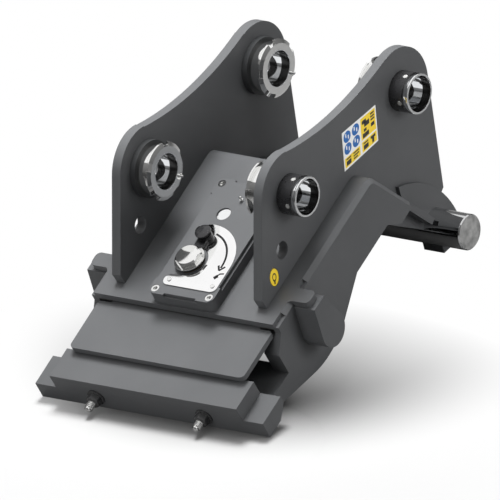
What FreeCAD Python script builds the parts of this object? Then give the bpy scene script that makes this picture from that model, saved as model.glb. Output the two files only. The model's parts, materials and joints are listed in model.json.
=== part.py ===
import FreeCAD, Part
import math
import os

# Manual quick coupler for an excavator of the 7 to 10 tonne class.
# Units are millimetres. +X points back from the beam to the hinge shaft, +Y to the left, +Z up.
# The origin is the centre of the front pin bore, in the plane of symmetry.

V = FreeCAD.Vector

# Excavator pins
PIN_BORE_R = 25.0
REAR_PIN_X = 266.5
REAR_PIN_Z = -2.0

# Top plate: one bent plate, with its front edge below and in front of the front pin
PLATE_FRONT_X = -124.3
PLATE_FRONT_Z = -129.1
PLATE_SLOPE = 16.7
PLATE_T = 10.0
PLATE_LEDGE = 6.5
BEND_AT = 269.4
BEND_ANGLE = 68.4
BEND_R = 18.0
LEAF_LEN = 172.0
TAB_FRONT = 44.5
TAB_W = 23.0
TAB_REACH = 33.5
TAB_R = 8.0
TAB_FILLET = 8.0

# Side plates, hub arms and what they stand on
SIDE_OUT = 158.5
SIDE_T = 25.0
SIDE_DEPTH = 80.0
LIP_DROP = 6.5
FLOOR_Z = -237.0
JAW_WALL = -22.0
JAW_LIP_DEPTH = 37.5
BELLY_R = 126.0
BELLY_X = -75.0
BELLY_END = -43.0
HEEL_FRONT = 166.0
HEEL_BACK = 251.0
TAIL = (168.0, -149.0)
SIDE_END = 107.0
HUB_ARM_T = 33.9
HUB_ARM_FRONT = 175.0
HUB_LOBE_BEFORE = 86.6
HUB_LOBE_BELOW = 42.0
HUB_LOBE_R = 140.5
HUB_LOBE_FRONT = 37.0
SADDLE_END = 160.0
HUB_LIP_DROP = 46.5
HUB_LIP_FRONT = 4.4

# Hinge shaft
SHAFT_GAP = 5.74
SHAFT_OFF = -3.56
SHAFT_R = 25.0
SHAFT_END = 59.7
SHAFT_CHAMFER = 1.5

# Ears
EAR_INSET = 6.0
EAR_T = 14.5
EAR_LOBE_R = 60.4
EAR_HOLLOW_R = 500.0
EAR_FRONT_LEAN = 21.1
EAR_BACK_LEAN = 9.2
EAR_TIP_LEN = 138.0
EAR_HEEL_Z = -177.0
EYE_X = -42.0
EYE_Z = -65.0
EYE_R = 12.5

# Pin sleeves: bushes that carry the excavator's pins
SLEEVE_WALL = 1.5
FIT = 0.05
BOSS_R = 40.0
BOSS_LEN = 9.0
NUT_R = 35.5
NUT_LEN = 23.5
NUT_FLANGE_R = 40.5
NUT_FLANGE_T = 6.0
NUT_CHAMFER_R = 5.5
NUT_CHAMFER_T = 3.0
NUT_SLOTS = 5
NUT_SLOT_W = 12.0
NUT_SLOT_ROOT = 35.0
FRONT_NUT_TURN = 284.0
REAR_NUT_TURN = 159.7
COLLAR_R = 28.2
LIP_R = 28.2
SLEEVE_REACH = 31.4
PLAIN_SLEEVE_REACH = 23.5
SLEEVE_FREE_END = 9.4
SET_SCREW_R = 3.3
SET_SCREW_HOLE_R = 4.2
SET_SCREW_ANGLES = (97.0, 180.0)
SET_SCREW_INSET = 4.5
NIPPLE_ANGLE = -43.0
NIPPLE_AT_R = 30.5

# Front beam, lugs and floor plate
BEAM_FRONT = -132.0
BEAM_LEN = 50.0
BEAM_TOP = -23.0
BEAM_BOTTOM = -73.0
LEDGE_STEP = 23.0
BEAM_END = 34.7
BEAM_CHAMFER_L = 20.0
BEAM_CHAMFER_H = 15.0
STUD_Y = 91.5
STUD_DEPTH = -51.0
STUD_R = 6.0
STUD_OUT = 26.0
LUG_FRONT = 42.5
LUG_BACK = 69.0
LUG_BOTTOM_R = 25.0
LUG_CENTRE_X = -53.5
LUG_CENTRE_Z = -174.0
FLOOR_PLATE_FRONT = -104.0
FLOOR_PLATE_BACK = -10.0
FLOOR_PLATE_T = 8.0
RIB_FRONT = 160.0
RIB_T = 12.0
RIB_BOTTOM = -70.0

# Wedge: a wide nose in front of the top plate, and a narrower tongue under it
RUN = 0.3
PAD_T = 2.0
WEDGE_T = 8.0
WEDGE_FRONT = -87.0
WEDGE_NOSE_BACK = -2.0
NOSE_INSET = 10.8
TONGUE_INSET = 7.5
WEDGE_TONGUE_END = 105.0
WEDGE_CORNER_R = 8.0
WEDGE_BACK_R = 6.0
RAIL_W = 21.5
RAIL_H = 9.4
PAD_HALF_W = 83.0

# Rack and pinion that draw the wedge back
SPINDLE_S = 65.0
SPINDLE_Y = 16.0
SPINDLE_R = 12.0
MODULE = 5.0
PINION_TEETH = 12
PRESSURE = 20.0
RACK_TIP = 3.4
BACKLASH = 0.5
GEAR_T = 14.0
GEAR_DROP = 3.5
RACK_FRONT = 2.0
RACK_BACK = 90.0
RACK_BODY = 14.0
LEVER_TURN = 95.0

# Lock housing on the top plate, its cover and the lever
HOUSING_FRONT = 3.0
HOUSING_BACK = 210.0
HOUSING_HALF_W = 54.5
HOUSING_H = 14.0
HOUSING_R = 11.0
COVER_T = 5.5
COVER_NOTCH = 3.0
COVER_LOBE = 27.5
COVER_SCREW_INSET = 9.0
SIGN_T = 1.5
HEX_SW = 34.0
HEX_H = 8.0
FLANGE_R = 22.0
FLANGE_T = 1.5
DRIVE_SW = 24.0
LEVER_EYE_R = 20.5
LEVER_T = 4.0
LEVER_LEN = 43.0
LEVER_W = 15.0
KNOB_R = 11.5
KNOB_H = 8.0
KNOB_CROWN = 2.0
PLUNGER_R = 4.0
SIGHT_S = 152.0
SIGHT_Y = 13.5
SIGHT_R = 10.5
SIGN_R = 66.0
SIGN_LOBE_R = 9.0

# Values that follow from the sizes above
SLOPE = math.radians(PLATE_SLOPE)
LEAF_SLOPE = math.radians(BEND_ANGLE - PLATE_SLOPE)
SIDE_IN = SIDE_OUT - SIDE_T
PLATE_HALF_W = SIDE_OUT - PLATE_LEDGE
TAB_OUT = PLATE_HALF_W + TAB_REACH
EAR_OUT = SIDE_IN - EAR_INSET
EAR_IN = EAR_OUT - EAR_T
HUB_OUT = SIDE_IN
HUB_IN = HUB_OUT - HUB_ARM_T
SHAFT_HALF_LEN = HUB_OUT + SHAFT_END
BEAM_HALF_W = SIDE_OUT + BEAM_END
SLEEVE_OUT = EAR_OUT + SLEEVE_REACH
PLAIN_SLEEVE_OUT = EAR_OUT + PLAIN_SLEEVE_REACH
COLLAR_LEN = SLEEVE_REACH - SLEEVE_FREE_END
WEDGE_NOSE_HALF_W = SIDE_OUT - NOSE_INSET
WEDGE_TONGUE_HALF_W = SIDE_IN - TONGUE_INSET
SLEEVE_R = PIN_BORE_R + SLEEVE_WALL
WEDGE_TOP = -(PLATE_T + PAD_T + RUN)
WEDGE_BOTTOM = WEDGE_TOP - WEDGE_T
PITCH_R = MODULE * PINION_TEETH / 2
TRAVEL = PITCH_R * math.radians(LEVER_TURN)
GEAR_TOP = WEDGE_BOTTOM - GEAR_DROP
GEAR_BOTTOM = GEAR_TOP - GEAR_T
COVER_TOP = HOUSING_H + COVER_T
LEVER_BOTTOM = COVER_TOP + SIGN_T + RUN
LEVER_TOP = LEVER_BOTTOM + LEVER_T
FLANGE_TOP = LEVER_TOP + FLANGE_T
KNOB_BOTTOM = LEVER_TOP + 2.0

PLATE_PLACE = FreeCAD.Placement(V(PLATE_FRONT_X, 0, PLATE_FRONT_Z), FreeCAD.Rotation(V(0, 1, 0), -PLATE_SLOPE))


def on_plate(s, off):
    """A point of the XZ plane: s along the top plate from its front edge, off above its upper face."""
    x = PLATE_FRONT_X + s * math.cos(SLOPE) - off * math.sin(SLOPE)
    z = PLATE_FRONT_Z + s * math.sin(SLOPE) + off * math.cos(SLOPE)
    return x, z


def on_leaf(d, off):
    """A point of the XZ plane: d down the rear leaf from the sharp bend line, off above its upper face."""
    bend_x, bend_z = on_plate(BEND_AT, 0)
    x = bend_x + d * math.cos(LEAF_SLOPE) + off * math.sin(LEAF_SLOPE)
    z = bend_z - d * math.sin(LEAF_SLOPE) + off * math.cos(LEAF_SLOPE)
    return x, z


# The shaft hangs below the end of the leaf, and the hub arms' lobes are drawn about it
SHAFT_X, SHAFT_Z = on_leaf(LEAF_LEN + SHAFT_GAP + SHAFT_R, SHAFT_OFF)
HUB_LOBE_X = SHAFT_X - HUB_LOBE_BEFORE
HUB_LOBE_Z = SHAFT_Z - HUB_LOBE_BELOW


def bend_corner(off):
    """The sharp corner of the bent plate's path, off above its upper face."""
    return on_plate(BEND_AT + off * math.tan(math.radians(BEND_ANGLE) / 2), off)


def rounded(points):
    """A closed wire from (a, b) or (a, b, radius) corners, with a tangent arc at each radius."""
    corners = [(V(p[0], p[1], 0), p[2] if len(p) > 2 else 0.0) for p in points]
    ends = []
    for i, (here, radius) in enumerate(corners):
        if not radius:
            ends.append((here, None, here))
            continue
        before = (corners[i - 1][0] - here).normalize()
        after = (corners[(i + 1) % len(corners)][0] - here).normalize()
        half = before.getAngle(after) / 2
        reach = radius / math.tan(half)
        middle = here + (before + after).normalize() * (radius / math.sin(half) - radius)
        ends.append((here + before * reach, middle, here + after * reach))
    edges = []
    for i, (start, middle, end) in enumerate(ends):
        if middle is not None:
            edges.append(Part.Arc(start, middle, end).toShape())
        follows = ends[(i + 1) % len(ends)][0]
        if (follows - end).Length > 1e-6:
            edges.append(Part.LineSegment(end, follows).toShape())
    return Part.Wire(edges)


def slab_xz(wire, y0, y1):
    """A plate whose outline, drawn as (x, z), is extruded from y0 to y1."""
    outline = wire.copy()
    outline.rotate(V(0, 0, 0), V(1, 0, 0), 90)
    outline.translate(V(0, y0, 0))
    return Part.Face(outline).extrude(V(0, y1 - y0, 0))


def slab_on_plate(wire, off0, off1):
    """A plate whose outline, drawn as (s, y), lies parallel to the top plate."""
    outline = wire.copy()
    outline.translate(V(0, 0, off0))
    solid = Part.Face(outline).extrude(V(0, 0, off1 - off0))
    solid.Placement = PLATE_PLACE
    return solid


def block_on_plate(s0, s1, y0, y1, off0, off1):
    return slab_on_plate(rounded([(s0, y0), (s1, y0), (s1, y1), (s0, y1)]), off0, off1)


def disc_on_plate(s, y, radius, off0, off1):
    solid = Part.makeCylinder(radius, off1 - off0, V(s, y, off0))
    solid.Placement = PLATE_PLACE
    return solid


def ring_on_plate(s, y, outer, inner, off0, off1):
    return disc_on_plate(s, y, outer, off0, off1).cut(disc_on_plate(s, y, inner, off0 - 1, off1 + 1))


def hexagon(s, y, across_flats):
    corner = across_flats / math.sqrt(3)
    angles = [math.radians(60 * k) for k in range(6)]
    return rounded([(s + corner * math.cos(a), y + corner * math.sin(a)) for a in angles])


def tube_y(x, z, outer, inner, y0, y1):
    solid = Part.makeCylinder(outer, y1 - y0, V(x, y0, z), V(0, 1, 0))
    if inner:
        solid = solid.cut(Part.makeCylinder(inner, y1 - y0 + 2, V(x, y0 - 1, z), V(0, 1, 0)))
    return solid


def mirrored(solid):
    return solid.mirror(V(0, 0, 0), V(0, 1, 0))


def arc_about(x, z, radius, start, end):
    """An arc in the outline plane from one angle to another, in degrees."""
    def point(angle):
        return V(x + radius * math.cos(math.radians(angle)), z + radius * math.sin(math.radians(angle)), 0)
    return Part.Arc(point(start), point((start + end) / 2), point(end)).toShape()


def joined(runs):
    """A closed wire from edges and chains of edges in order, with straight lines across the gaps."""
    edges = []
    for run in runs:
        edges += run if isinstance(run, list) else [run]
    chain = []
    for i, edge in enumerate(edges):
        chain.append(edge)
        end = edge.Vertexes[-1].Point
        start = edges[(i + 1) % len(edges)].Vertexes[0].Point
        if (start - end).Length > 1e-6:
            chain.append(Part.LineSegment(end, start).toShape())
    return Part.Wire(chain)


def polyline(points):
    return [line(a, b) for a, b in zip(points, points[1:])]


def line(a, b):
    return Part.LineSegment(V(a[0], a[1], 0), V(b[0], b[1], 0)).toShape()


# Frame

def plate_band(top, bottom, y0, y1):
    """A bent band between two depths of the top plate's path."""
    outline = [on_plate(0, top), bend_corner(top) + (BEND_R + top,), on_leaf(LEAF_LEN, top),
               on_leaf(LEAF_LEN, bottom), bend_corner(bottom) + (BEND_R + bottom,), on_plate(0, bottom)]
    return slab_xz(rounded(outline), y0, y1)


def make_tab():
    """Side tab of the top plate, rounded into the plate's edge and at its outer corners."""
    back = TAB_FRONT + TAB_W
    corner_y = TAB_OUT - TAB_R
    fillet_y = PLATE_HALF_W + TAB_FILLET
    inside = PLATE_HALF_W - 20
    runs = [arc_about(TAB_FRONT - TAB_FILLET, fillet_y, TAB_FILLET, -90, 0),
            arc_about(TAB_FRONT + TAB_R, corner_y, TAB_R, 180, 90),
            arc_about(back - TAB_R, corner_y, TAB_R, 90, 0),
            arc_about(back + TAB_FILLET, fillet_y, TAB_FILLET, 180, 270),
            line((back + TAB_FILLET, inside), (TAB_FRONT - TAB_FILLET, inside))]
    return slab_on_plate(joined(runs), -PLATE_T, 0)


def make_top_plate(hub_arm):
    plate = plate_band(0, -PLATE_T, -PLATE_HALF_W, PLATE_HALF_W)
    tab = make_tab()
    for side in (tab, mirrored(tab)):
        plate = plate.fuse(side)
    plate = plate.cut(hub_arm).cut(mirrored(hub_arm))
    plate = plate.cut(disc_on_plate(SPINDLE_S, SPINDLE_Y, SPINDLE_R + 4, -PLATE_T - 1, 1))
    return plate.removeSplitter()


def bend_arc(depth, backwards):
    """The bent plate's arc at a depth below its upper face, down to the leaf or back up from it."""
    half = math.tan(math.radians(BEND_ANGLE) / 2)
    centre = on_plate(BEND_AT - BEND_R * half, -BEND_R)
    high = 90 + PLATE_SLOPE
    low = high - BEND_ANGLE
    if backwards:
        return arc_about(centre[0], centre[1], BEND_R - depth, low, high)
    return arc_about(centre[0], centre[1], BEND_R - depth, high, low)


def make_side_plate():
    """Jaw below the plate's front, rounded belly and a tail that closes on the leaf."""
    toe = on_plate(BEAM_FRONT + 20, BEAM_BOTTOM)
    jaw = [on_plate(0.5, -PLATE_T - LIP_DROP), on_plate(JAW_WALL, -JAW_LIP_DEPTH),
           on_plate(JAW_WALL, BEAM_BOTTOM), toe, (toe[0] - 2, FLOOR_Z)]
    belly = arc_about(BELLY_X, FLOOR_Z + BELLY_R, BELLY_R, -90, BELLY_END)
    heel = [on_plate(HEEL_FRONT, -SIDE_DEPTH), on_plate(HEEL_BACK, -SIDE_DEPTH), TAIL]
    layers = []
    for depth, y0, y1 in ((PLATE_T, SIDE_IN, PLATE_HALF_W), (LIP_DROP, PLATE_HALF_W, SIDE_OUT)):
        edges = [belly, polyline(heel), bend_arc(depth, True), polyline([on_plate(0.5, -depth)] + jaw)]
        edges.insert(2, line(on_leaf(SIDE_END, -depth), on_leaf(SIDE_END - 1, -depth)))
        layers.append(slab_xz(joined(edges), y0, y1))
    plate = layers[0].fuse(layers[1])
    pocket_back = WEDGE_NOSE_BACK + TRAVEL + 3
    pocket = block_on_plate(-9, pocket_back, SIDE_IN - 1, WEDGE_NOSE_HALF_W + 0.6,
                            WEDGE_BOTTOM - 0.6, -PLATE_T)
    return plate.cut(pocket).cut(make_tab()).removeSplitter()


def make_hub_arm():
    """Thick arm from under the plate, up through the leaf, over the shaft and down behind it."""
    front_x = HUB_LOBE_X + HUB_LOBE_FRONT
    rise = math.degrees(math.acos(HUB_LOBE_FRONT / HUB_LOBE_R))
    lobe = arc_about(HUB_LOBE_X, HUB_LOBE_Z, HUB_LOBE_R, rise, 0)
    under_leaf = (front_x - on_leaf(0, -PLATE_T)[0]) / math.cos(LEAF_SLOPE)
    low_z = SHAFT_Z - HUB_LIP_DROP
    lip_x = SHAFT_X + HUB_LIP_FRONT
    lip_angle = -90 + math.degrees(math.asin(HUB_LIP_FRONT / SHAFT_R))
    saddle = arc_about(SHAFT_X, SHAFT_Z, SHAFT_R, lip_angle, SADDLE_END)
    foot = polyline([on_plate(HEEL_BACK, -SIDE_DEPTH), on_plate(HUB_ARM_FRONT, -SIDE_DEPTH),
                     on_plate(HUB_ARM_FRONT, -PLATE_T)])
    leaf_end = on_leaf(under_leaf, -PLATE_T)
    rising = line(leaf_end, (front_x, leaf_end[1] + 5))
    back = line((HUB_LOBE_X + HUB_LOBE_R, low_z), (lip_x, low_z))
    return slab_xz(joined([foot, bend_arc(PLATE_T, False), rising, lobe, back, saddle]), HUB_IN, HUB_OUT)


def make_ear(hub_arm):
    lean = math.radians(EAR_FRONT_LEAN)
    mid_x = REAR_PIN_X / 2
    mid_z = REAR_PIN_Z / 2
    reach = EAR_LOBE_R + EAR_HOLLOW_R
    hollow_z = mid_z + math.sqrt(reach ** 2 - mid_x ** 2)
    to_front = math.degrees(math.atan2(hollow_z, mid_x))
    to_rear = math.degrees(math.atan2(hollow_z - REAR_PIN_Z, mid_x - REAR_PIN_X))
    front_lobe = arc_about(0, 0, EAR_LOBE_R, 180 - EAR_FRONT_LEAN, to_front)
    hollow = arc_about(mid_x, hollow_z, EAR_HOLLOW_R, 180 + to_front, 180 + to_rear)
    rear_lobe = arc_about(REAR_PIN_X, REAR_PIN_Z, EAR_LOBE_R, to_rear, -EAR_BACK_LEAN)
    top = front_lobe.Vertexes[0].Point
    tip = (top.x - EAR_TIP_LEN * math.sin(lean), top.y - EAR_TIP_LEN * math.cos(lean))
    back = rear_lobe.Vertexes[-1].Point
    heel_x = back.x - (back.y - EAR_HEEL_Z) * math.tan(math.radians(EAR_BACK_LEAN))
    toe = on_plate(25.0, -1)
    bottom = line((heel_x - 14, EAR_HEEL_Z - 10), on_leaf(LEAF_LEN, -60))
    blank = slab_xz(joined([front_lobe, hollow, rear_lobe, line((heel_x, EAR_HEEL_Z), (heel_x, EAR_HEEL_Z - 1)),
                            bottom, line((toe[0], toe[1] - 40), toe), line(tip, tip_end(tip, lean))]),
                    EAR_IN, EAR_OUT)
    below = [on_plate(-80, 0), bend_corner(0) + (BEND_R,), on_leaf(LEAF_LEN + 60, 0), (-60.0, -400.0)]
    ear = blank.cut(slab_xz(rounded(below), EAR_IN - 1, EAR_OUT + 1)).cut(hub_arm)
    seat_r = SLEEVE_R + FIT
    for x, z, radius in ((0, 0, seat_r), (REAR_PIN_X, REAR_PIN_Z, seat_r), (EYE_X, EYE_Z, EYE_R)):
        ear = ear.cut(tube_y(x, z, radius, 0, EAR_IN - 1, EAR_OUT + 1))
    return max(ear.Solids, key=lambda s: s.Volume)


def tip_end(tip, lean):
    """A point a hair down the ear's front edge, which gives its wire a direction to start in."""
    return tip[0] + 0.5 * math.sin(lean), tip[1] + 0.5 * math.cos(lean)


def make_beam():
    ends = [(BEAM_FRONT, BEAM_BOTTOM), (BEAM_FRONT, BEAM_TOP - LEDGE_STEP),
            (BEAM_FRONT + BEAM_LEN, BEAM_TOP - LEDGE_STEP),
            (BEAM_FRONT + BEAM_LEN, BEAM_BOTTOM + BEAM_CHAMFER_H),
            (BEAM_FRONT + BEAM_LEN - BEAM_CHAMFER_L, BEAM_BOTTOM)]
    beam = slab_xz(rounded([on_plate(s, off) for s, off in ends]), -BEAM_HALF_W, BEAM_HALF_W)
    middle = block_on_plate(BEAM_FRONT, BEAM_FRONT + BEAM_LEN, -SIDE_OUT, SIDE_OUT, BEAM_BOTTOM, BEAM_TOP)
    beam = beam.fuse(middle).removeSplitter()
    for y in (-STUD_Y, STUD_Y):
        beam = beam.cut(along_plate(y, STUD_R + FIT, BEAM_FRONT - 1, BEAM_FRONT + 25))
    return beam


def along_plate(y, radius, s0, s1):
    """A round bar along the top plate's slope, at the studs' depth."""
    bar = Part.makeCylinder(radius, s1 - s0, V(s0, y, STUD_DEPTH), V(1, 0, 0))
    bar.Placement = PLATE_PLACE
    return bar


def make_stud_nut(y):
    corner = STUD_R * 1.83
    angles = [math.radians(60 * k + 30) for k in range(6)]
    wire = Part.makePolygon([V(0, y + corner * math.cos(a), STUD_DEPTH + corner * math.sin(a))
                             for a in angles + angles[:1]])
    nut = Part.Face(wire).extrude(V(-10, 0, 0))
    nut.translate(V(BEAM_FRONT - 2.5, 0, 0))
    cone = Part.makeCone(corner * 0.8, corner * 0.8 + 24, 24, V(BEAM_FRONT - 12.5, y, STUD_DEPTH), V(1, 0, 0))
    nut = nut.common(cone)
    nut.Placement = PLATE_PLACE
    return nut.cut(along_plate(y, STUD_R + FIT, BEAM_FRONT - 20, BEAM_FRONT))


def make_lug():
    """A hanging block under the side tab, with a round foot."""
    front = on_plate(LUG_FRONT, -PLATE_T)
    back = on_plate(LUG_BACK, -PLATE_T)
    ends = []
    for corner, side in ((front, 1), (back, -1)):
        dx = corner[0] - LUG_CENTRE_X
        dz = corner[1] - LUG_CENTRE_Z
        swing = math.degrees(math.acos(LUG_BOTTOM_R / math.hypot(dx, dz)))
        ends.append(math.degrees(math.atan2(dz, dx)) + side * swing)
    foot = arc_about(LUG_CENTRE_X, LUG_CENTRE_Z, LUG_BOTTOM_R, ends[0], 360 + ends[1])
    return slab_xz(joined([foot, line(back, front)]), SIDE_OUT, BEAM_HALF_W)


def make_edge_weld():
    """Fillet weld from the top plate's upper edge to the side plate's outer edge, in two lengths."""
    def run(s0, s1, place):
        corner = [V(s0, PLATE_HALF_W, 0), V(s0, PLATE_HALF_W, -LIP_DROP), V(s0, SIDE_OUT, -LIP_DROP)]
        bead = Part.Face(Part.makePolygon(corner + corner[:1])).extrude(V(s1 - s0, 0, 0))
        bead.Placement = place
        return bead
    half = math.tan(math.radians(BEND_ANGLE) / 2) * BEND_R
    short = run(TAB_FRONT - 22, TAB_FRONT, PLATE_PLACE)
    up = run(TAB_FRONT + TAB_W + 16, BEND_AT - half, PLATE_PLACE)
    bend_x, bend_z = on_plate(BEND_AT, 0)
    leaf_place = FreeCAD.Placement(V(bend_x, 0, bend_z), FreeCAD.Rotation(V(0, 1, 0), BEND_ANGLE - PLATE_SLOPE))
    down = run(half, SIDE_END - 2, leaf_place)
    centre = on_plate(BEND_AT - half, -BEND_R)
    start = [on_plate(BEND_AT - half, off) for off in (0, -LIP_DROP, -LIP_DROP)]
    corner = [V(p[0], y, p[1]) for p, y in zip(start, (PLATE_HALF_W, PLATE_HALF_W, SIDE_OUT))]
    section = Part.Face(Part.makePolygon(corner + corner[:1]))
    turn = section.revolve(V(centre[0], 0, centre[1]), V(0, 1, 0), BEND_ANGLE)
    tab = make_tab()
    return Part.makeCompound([short.cut(tab), up.fuse(turn).fuse(down).removeSplitter().cut(tab)])


# Pin sleeves

def turned(x, z, profile):
    """A ring about a pin bore from (radius, y) corners."""
    points = [V(x + r, y, z) for r, y in profile]
    return Part.Face(Part.makePolygon(points + points[:1])).revolve(V(x, 0, z), V(0, 1, 0), 360)


def make_sleeve(x, z):
    inner = EAR_IN - BOSS_LEN - NUT_LEN
    return turned(x, z, [(PIN_BORE_R, inner), (SLEEVE_R, inner), (SLEEVE_R, SLEEVE_OUT - 4),
                         (LIP_R, SLEEVE_OUT - 2), (LIP_R, SLEEVE_OUT - 0.6), (LIP_R - 0.6, SLEEVE_OUT),
                         (PIN_BORE_R, SLEEVE_OUT)])


def make_plain_sleeve(x, z):
    inner = EAR_IN - BOSS_LEN - NUT_LEN
    return turned(x, z, [(PIN_BORE_R, inner), (SLEEVE_R, inner), (SLEEVE_R, PLAIN_SLEEVE_OUT - 0.6),
                         (SLEEVE_R - 0.6, PLAIN_SLEEVE_OUT), (PIN_BORE_R, PLAIN_SLEEVE_OUT)])


def make_nut(x, z, turn):
    """Round nut with a chamfered flange, slotted for a hook wrench."""
    inner = EAR_IN - BOSS_LEN - NUT_LEN
    hole = SLEEVE_R + FIT
    nut = turned(x, z, [(hole, inner), (NUT_FLANGE_R - NUT_CHAMFER_R, inner),
                        (NUT_FLANGE_R, inner + NUT_CHAMFER_T),
                        (NUT_FLANGE_R, inner + NUT_FLANGE_T), (NUT_R, inner + NUT_FLANGE_T),
                        (NUT_R, inner + NUT_LEN), (hole, inner + NUT_LEN)])
    for k in range(NUT_SLOTS):
        corner = V(x + NUT_SLOT_ROOT, inner - 1, z - NUT_SLOT_W / 2)
        slot = Part.makeBox(10, NUT_FLANGE_T + 1, NUT_SLOT_W, corner)
        slot.rotate(V(x, 0, z), V(0, 1, 0), -turn - 360 * k / NUT_SLOTS)
        nut = nut.cut(slot)
    return nut


def radial_bar(x, z, y, angle, r0, r1, radius):
    a = math.radians(angle)
    out = V(math.cos(a), 0, math.sin(a))
    return Part.makeCylinder(radius, r1 - r0, V(x, y, z) + out * r0, out)


def make_collar(x, z):
    screw_y = EAR_OUT + COLLAR_LEN - SET_SCREW_INSET
    collar = tube_y(x, z, COLLAR_R, SLEEVE_R + FIT, EAR_OUT, EAR_OUT + COLLAR_LEN)
    for angle in SET_SCREW_ANGLES:
        collar = collar.cut(radial_bar(x, z, screw_y, angle, SLEEVE_R - 1, COLLAR_R + 2, SET_SCREW_HOLE_R))
    return collar


def make_nipple(base, out, height):
    """Ball-headed grease nipple that stands on a base point along a direction."""
    neck = Part.makeCylinder(1.6, height, base, out)
    foot = Part.makeCylinder(2.7, height * 0.45, base, out)
    ball = Part.makeSphere(2.2, base + out * height)
    return foot.fuse(neck).fuse(ball).removeSplitter()


def make_nut_nipple(x, z):
    """Grease nipple on the flat face of a round nut."""
    a = math.radians(NIPPLE_ANGLE)
    face_y = EAR_IN - BOSS_LEN - NUT_LEN
    base = V(x + NIPPLE_AT_R * math.cos(a), face_y, z + NIPPLE_AT_R * math.sin(a))
    return make_nipple(base, V(0, -1, 0), 4.3)


# Wedge and its drive

def make_wedge():
    w = WEDGE_NOSE_HALF_W
    nose = rounded([(WEDGE_FRONT, -w, WEDGE_CORNER_R), (WEDGE_NOSE_BACK, -w, WEDGE_BACK_R),
                    (WEDGE_NOSE_BACK, w, WEDGE_BACK_R), (WEDGE_FRONT, w, WEDGE_CORNER_R)])
    wedge = slab_on_plate(nose, WEDGE_BOTTOM, WEDGE_TOP)
    tongue = rounded([(-30, -WEDGE_TONGUE_HALF_W), (WEDGE_TONGUE_END, -WEDGE_TONGUE_HALF_W, 10),
                      (WEDGE_TONGUE_END, WEDGE_TONGUE_HALF_W, 10), (-30, WEDGE_TONGUE_HALF_W)])
    wedge = wedge.fuse(slab_on_plate(tongue, WEDGE_BOTTOM, WEDGE_TOP))
    half = SPINDLE_R + 1.0
    s0 = SPINDLE_S - TRAVEL - half
    slot = rounded([(s0, SPINDLE_Y - half, half - 0.01), (SPINDLE_S + half, SPINDLE_Y - half, half - 0.01),
                    (SPINDLE_S + half, SPINDLE_Y + half, half - 0.01), (s0, SPINDLE_Y + half, half - 0.01)])
    wedge = wedge.cut(slab_on_plate(slot, WEDGE_BOTTOM - 1, WEDGE_TOP + 1))
    for s in rack_screw_places():
        wedge = wedge.cut(disc_on_plate(s, rack_middle(), 3.05, WEDGE_BOTTOM - 1, WEDGE_TOP + 1))
        wedge = wedge.cut(disc_on_plate(s, rack_middle(), 5.6, WEDGE_TOP - 4, WEDGE_TOP + 1))
    return wedge.removeSplitter()


def rack_line():
    """The rack's pitch line: the pinion turns clockwise and draws this side back."""
    return SPINDLE_Y + PITCH_R


def rack_middle():
    return rack_line() + MODULE + RACK_BODY / 2


def rack_screw_places():
    return [RACK_FRONT + 14, RACK_BACK - 14]


def make_rack():
    """Straight teeth that face the pinion, with a tooth space centred on the spindle."""
    pitch = math.pi * MODULE
    flank = math.tan(math.radians(PRESSURE))
    tip_half = pitch / 4 - BACKLASH / 2 - RACK_TIP * flank
    root_half = pitch / 4 - BACKLASH / 2 + MODULE * 1.1 * flank
    tip = rack_line() - RACK_TIP
    root = rack_line() + MODULE * 1.1
    back = rack_line() + MODULE + RACK_BODY
    points = [(RACK_FRONT, back), (RACK_FRONT, root)]
    first = math.ceil((RACK_FRONT + root_half - SPINDLE_S) / pitch - 0.5)
    last = math.floor((RACK_BACK - root_half - SPINDLE_S) / pitch - 0.5)
    for k in range(first, last + 1):
        middle = SPINDLE_S + (k + 0.5) * pitch
        points += [(middle - root_half, root), (middle - tip_half, tip), (middle + tip_half, tip),
                   (middle + root_half, root)]
    points += [(RACK_BACK, root), (RACK_BACK, back)]
    rack = slab_on_plate(rounded(points), GEAR_BOTTOM, WEDGE_BOTTOM)
    for s in rack_screw_places():
        rack = rack.cut(disc_on_plate(s, rack_middle(), 3.05, WEDGE_BOTTOM - 12, WEDGE_BOTTOM + 1))
    return rack


def make_rack_screws():
    screws = []
    for s in rack_screw_places():
        head = disc_on_plate(s, rack_middle(), 5.5, WEDGE_TOP - 4, WEDGE_TOP - 0.5)
        screws.append(head.fuse(disc_on_plate(s, rack_middle(), 3.0, WEDGE_BOTTOM - 11, WEDGE_TOP - 4)))
    return Part.makeCompound(screws)


def involute(radius, base):
    """The polar angle that an involute has swept when it reaches a radius."""
    if radius <= base:
        return 0.0
    pressure = math.acos(base / radius)
    return math.tan(pressure) - pressure


def make_pinion():
    """Twelve involute teeth on the spindle, with one tooth pointing at the rack."""
    base = PITCH_R * math.cos(math.radians(PRESSURE))
    outer = PITCH_R + MODULE
    root = PITCH_R - 1.3 * MODULE
    half_tooth = math.pi / (2 * PINION_TEETH) - BACKLASH / (2 * PITCH_R)
    radii = [root, base] + [base + (outer - base) * k / 4 for k in range(1, 5)]
    right = [(r, half_tooth + involute(PITCH_R, base) - involute(r, base)) for r in radii]
    points = []
    for k in range(PINION_TEETH):
        middle = math.pi / 2 + 2 * math.pi * k / PINION_TEETH
        for r, angle in right:
            points.append((r, middle - angle))
        for r, angle in reversed(right):
            points.append((r, middle + angle))
    outline = [(SPINDLE_S + r * math.cos(a), SPINDLE_Y + r * math.sin(a)) for r, a in points]
    gear = slab_on_plate(rounded(outline), GEAR_BOTTOM, GEAR_TOP)
    return gear.cut(disc_on_plate(SPINDLE_S, SPINDLE_Y, SPINDLE_R - 2 + FIT, GEAR_BOTTOM - 1, GEAR_TOP + 1))


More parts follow.
